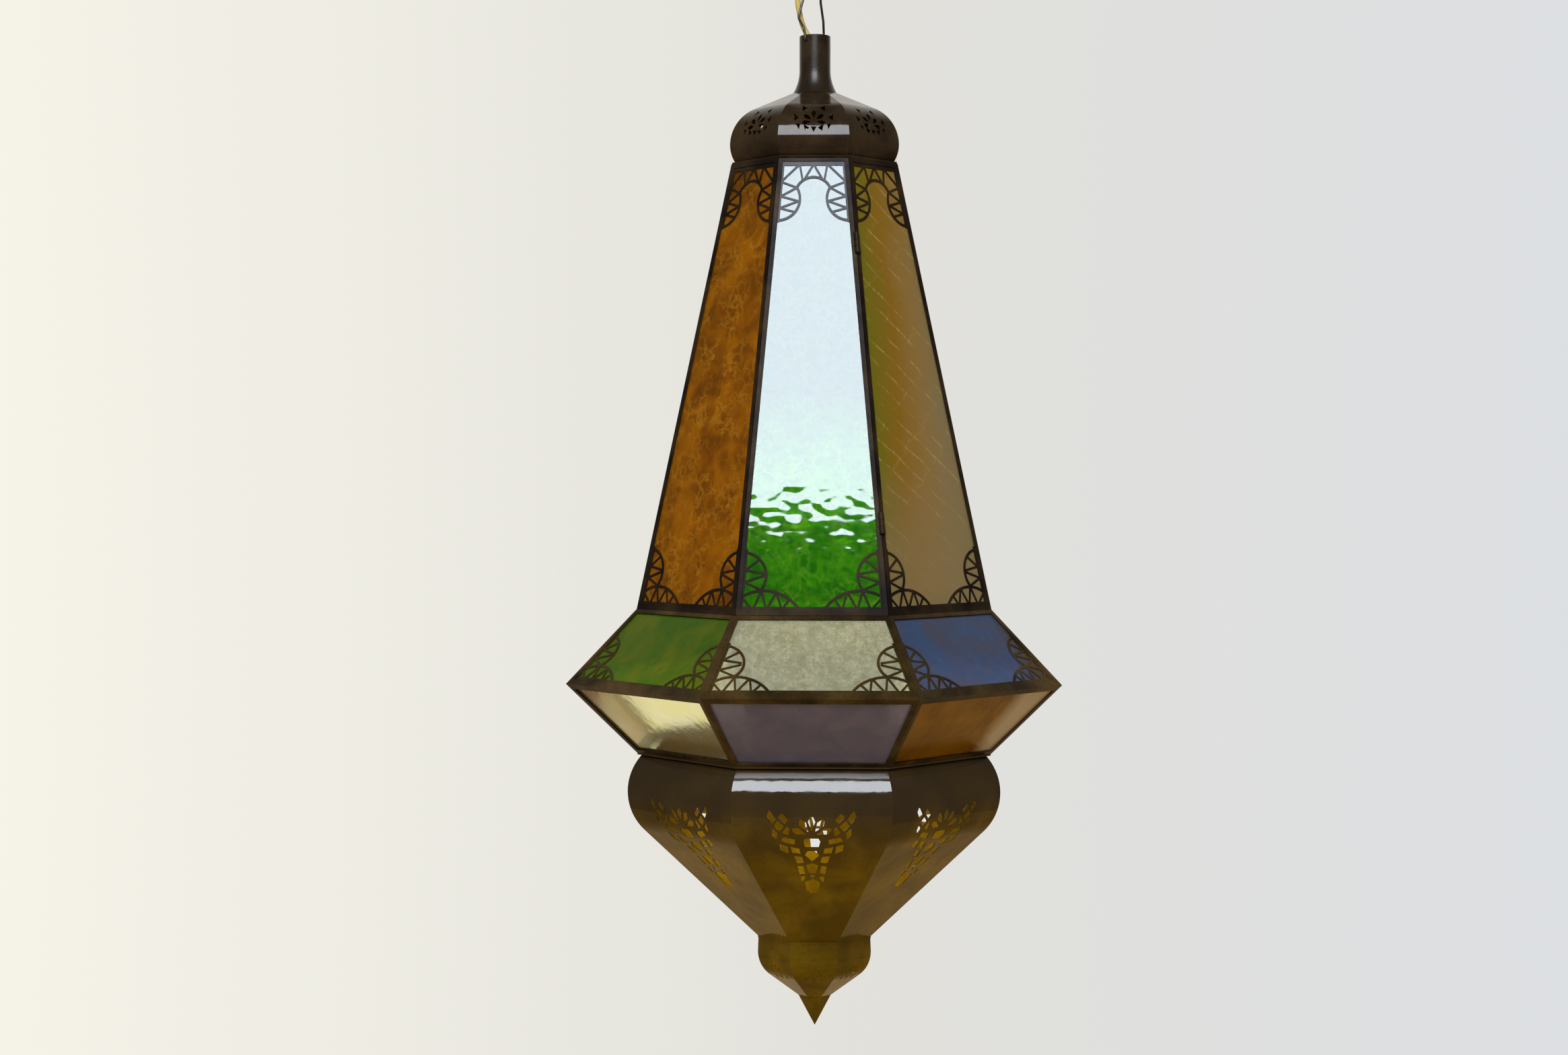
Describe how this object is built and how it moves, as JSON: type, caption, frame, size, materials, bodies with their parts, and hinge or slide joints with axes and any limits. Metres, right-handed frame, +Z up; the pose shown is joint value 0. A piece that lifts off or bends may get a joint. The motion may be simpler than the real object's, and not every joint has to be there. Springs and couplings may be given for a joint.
{
  "type": "pendant lantern",
  "caption": "Hanging eight-sided pendant lantern of dark bronze sheet and coloured glass, with a hinged glass door, pierced bowl and cap, wire bail and electric flex.",
  "frame": {"origin": "inside of the wire bail's top, where it sits on a hook", "axes": "+Z up along the lantern's axis; the glass door's panel faces -Y; +X is to its right seen from the front"},
  "size_m": [0.384, 0.384, 0.861],
  "materials": {
    "bronze_sheet": "dark patinated bronze sheet, glossy, worn lighter on its edges",
    "steel_wire": "dull annealed wire",
    "zinc_steel": "zinc-plated steel",
    "flex_sheath": "yellow round flex",
    "white_plastic": "white moulded plastic",
    "black_bakelite": "black moulded plastic",
    "ceramic": "glazed ceramic",
    "contact_brass": "bright brass",
    "cap_aluminium": "bright rolled aluminium",
    "bulb_clear": "clear lamp glass",
    "glass_amber": "amber glass with crackled veins",
    "glass_green": "green glass",
    "glass_ridged": "clear rolled glass with slanting ridges",
    "glass_blue": "blue glass",
    "glass_olive": "olive green glass",
    "glass_hammered": "clear hammered glass",
    "glass_slate": "slate blue glass",
    "glass_straw": "pale straw glass",
    "glass_violet": "violet grey glass"
  },
  "bodies": {
    "hanger": {"hanging_bail": "steel_wire", "flex_upper": "flex_sheath", "flex_connector": "white_plastic", "connector_screws": "zinc_steel", "flex_tie": "white_plastic"},
    "lantern": {"bowl_foot_ring": "bronze_sheet", "bowl_gores": "bronze_sheet", "bowl_top_ring": "bronze_sheet", "bracket_rivets": "zinc_steel", "casing_knuckles": "bronze_sheet", "dome_gores": "bronze_sheet", "dome_seat_ring": "bronze_sheet", "finial_gores": "bronze_sheet", "finial_tip": "bronze_sheet", "flex_lower": "flex_sheath", "hinge_pins": "bronze_sheet", "lamp_bracket": "zinc_steel", "lamp_nipple": "zinc_steel", "lampholder_body": "black_bakelite", "lampholder_cap": "black_bakelite", "lampholder_contact": "contact_brass", "lampholder_core": "ceramic", "lampholder_thread": "contact_brass", "neck_tube": "bronze_sheet", "nipple_nuts": "zinc_steel", "shoulder_filigree": "bronze_sheet", "shoulder_frames": "bronze_sheet", "shoulder_glass_0": "glass_hammered", "shoulder_glass_1": "glass_slate", "shoulder_glass_2": "glass_amber", "shoulder_glass_3": "glass_green", "shoulder_glass_4": "glass_hammered", "shoulder_glass_5": "glass_slate", "shoulder_glass_6": "glass_amber", "shoulder_glass_7": "glass_olive", "skirt_frames": "bronze_sheet", "skirt_glass_0": "glass_violet", "skirt_glass_1": "glass_amber", "skirt_glass_2": "glass_straw", "skirt_glass_3": "glass_straw", "skirt_glass_4": "glass_violet", "skirt_glass_5": "glass_straw", "skirt_glass_6": "glass_amber", "skirt_glass_7": "glass_straw", "taper_filigree": "bronze_sheet", "taper_frames": "bronze_sheet", "taper_glass_1": "glass_ridged", "taper_glass_2": "glass_blue", "taper_glass_3": "glass_amber", "taper_glass_4": "glass_green", "taper_glass_5": "glass_ridged", "taper_glass_6": "glass_blue", "taper_glass_7": "glass_amber"},
    "door": {"door_frame": "bronze_sheet", "door_glass": "glass_green", "door_head_filigree": "bronze_sheet", "door_foot_filigree": "bronze_sheet", "door_knuckles": "bronze_sheet"},
    "bulb": {"bulb_glass": "bulb_clear", "bulb_cap": "cap_aluminium"}
  },
  "joints": [
    {"name": "lantern_swing", "type": "hinge", "parent": "hanger", "child": "lantern", "pos_m": [0, 0, -0.0475], "axis": [-0.515, -0.8572, 0], "range_deg": [-15, 15]},
    {"name": "door_hinge", "type": "hinge", "parent": "lantern", "child": "door", "pos_m": [0.03375, -0.08147, -0.21719], "axis": [-0.0838, 0.2024, 0.9757], "range_deg": [0, 115]},
    {"name": "bulb_screw", "type": "hinge", "parent": "lantern", "child": "bulb", "pos_m": [0, 0, -0.193], "axis": [0, 0, 1], "continuous": true}
  ]
}
